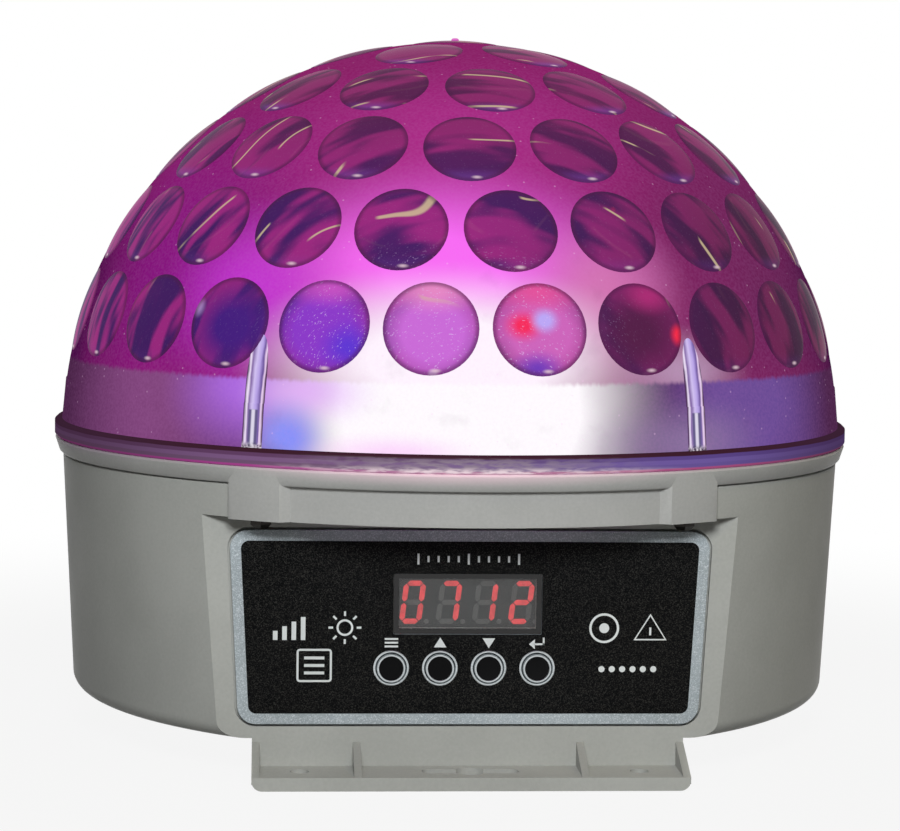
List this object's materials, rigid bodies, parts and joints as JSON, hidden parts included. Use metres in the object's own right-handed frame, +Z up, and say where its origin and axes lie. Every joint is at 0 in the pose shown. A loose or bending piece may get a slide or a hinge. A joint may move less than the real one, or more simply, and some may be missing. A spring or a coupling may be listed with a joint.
{
  "type": "LED dome effect light",
  "caption": "Stage light: a frosted half-dome of moulded lenses over colour LEDs and a slow lens wheel, on a round white base with flat front, display, buttons, rear sockets and a screw foot.",
  "frame": {"origin": "on the standing surface, on the axis of the dome", "axes": "+Z up along the dome's axis, the control panel faces -Y, +X to the right seen from the front"},
  "size_m": [0.21, 0.21, 0.1804],
  "materials": {
    "white_housing": "fine spark-eroded satin",
    "white_ring": "fine satin",
    "frosted_dome": "clear lenses in a frosted wall, lit from inside",
    "panel_plate": "black with metal flake, silver edge",
    "display_pane": "smoked, polished",
    "display_body": "moulded, with lit red segments",
    "button_plastic": "satin black with a bright edge",
    "screw_steel": "zinc plated",
    "circuit_board": "green solder mask",
    "sheet_aluminium": "mill finish",
    "led_body": "ceramic carrier with a silicone lens",
    "clear_optics": "polished clear",
    "black_plastic": "moulded satin",
    "motor_steel": "plated",
    "transformer_coil": "laminated core with a taped coil"
  },
  "bodies": {
    "housing": {"base_housing": "white_housing", "bezel_ring": "white_ring", "lens_dome": "frosted_dome", "dome_screw_front_left": "screw_steel", "dome_screw_front_right": "screw_steel", "dome_screw_rear_left": "screw_steel", "dome_screw_rear_right": "screw_steel", "case_screw_front_left": "screw_steel", "case_screw_front_right": "screw_steel", "case_screw_rear_left": "screw_steel", "case_screw_rear_right": "screw_steel", "control_panel": "panel_plate", "display_window": "display_pane", "display_module": "display_body", "tact_switch_1": "black_plastic", "tact_switch_2": "black_plastic", "tact_switch_3": "black_plastic", "tact_switch_4": "black_plastic", "control_board": "circuit_board", "power_inlet": "black_plastic", "dmx_in_socket": "black_plastic", "dmx_out_socket": "black_plastic", "microphone": "sheet_aluminium", "chassis_plate": "sheet_aluminium", "plate_screw_front_left": "screw_steel", "plate_screw_front_right": "screw_steel", "plate_screw_rear_left": "screw_steel", "plate_screw_rear_right": "screw_steel", "led_board": "sheet_aluminium", "led_1": "led_body", "led_2": "led_body", "led_3": "led_body", "led_4": "led_body", "led_5": "led_body", "led_6": "led_body", "led_lens_1": "clear_optics", "led_lens_2": "clear_optics", "led_lens_3": "clear_optics", "led_lens_4": "clear_optics", "led_lens_5": "clear_optics", "led_lens_6": "clear_optics", "gear_motor": "motor_steel", "power_board": "circuit_board", "power_transformer": "transformer_coil"},
    "menu_button": {"button_menu": "button_plastic"},
    "up_button": {"button_up": "button_plastic"},
    "down_button": {"button_down": "button_plastic"},
    "enter_button": {"button_enter": "button_plastic"},
    "wheel": {"motor_shaft": "motor_steel", "effect_wheel": "clear_optics", "wheel_screw": "screw_steel"}
  },
  "joints": [
    {"name": "menu_press", "type": "slide", "parent": "housing", "child": "menu_button", "axis": [0, 1, 0], "range_m": [0, 0.0005], "stiffness_N_per_m": 200},
    {"name": "up_press", "type": "slide", "parent": "housing", "child": "up_button", "axis": [0, 1, 0], "range_m": [0, 0.0005], "stiffness_N_per_m": 200},
    {"name": "down_press", "type": "slide", "parent": "housing", "child": "down_button", "axis": [0, 1, 0], "range_m": [0, 0.0005], "stiffness_N_per_m": 200},
    {"name": "enter_press", "type": "slide", "parent": "housing", "child": "enter_button", "axis": [0, 1, 0], "range_m": [0, 0.0005], "stiffness_N_per_m": 200},
    {"name": "wheel_spin", "type": "hinge", "parent": "housing", "child": "wheel", "pos_m": [0, 0, 0.086], "axis": [0, 0, 1], "continuous": true}
  ]
}
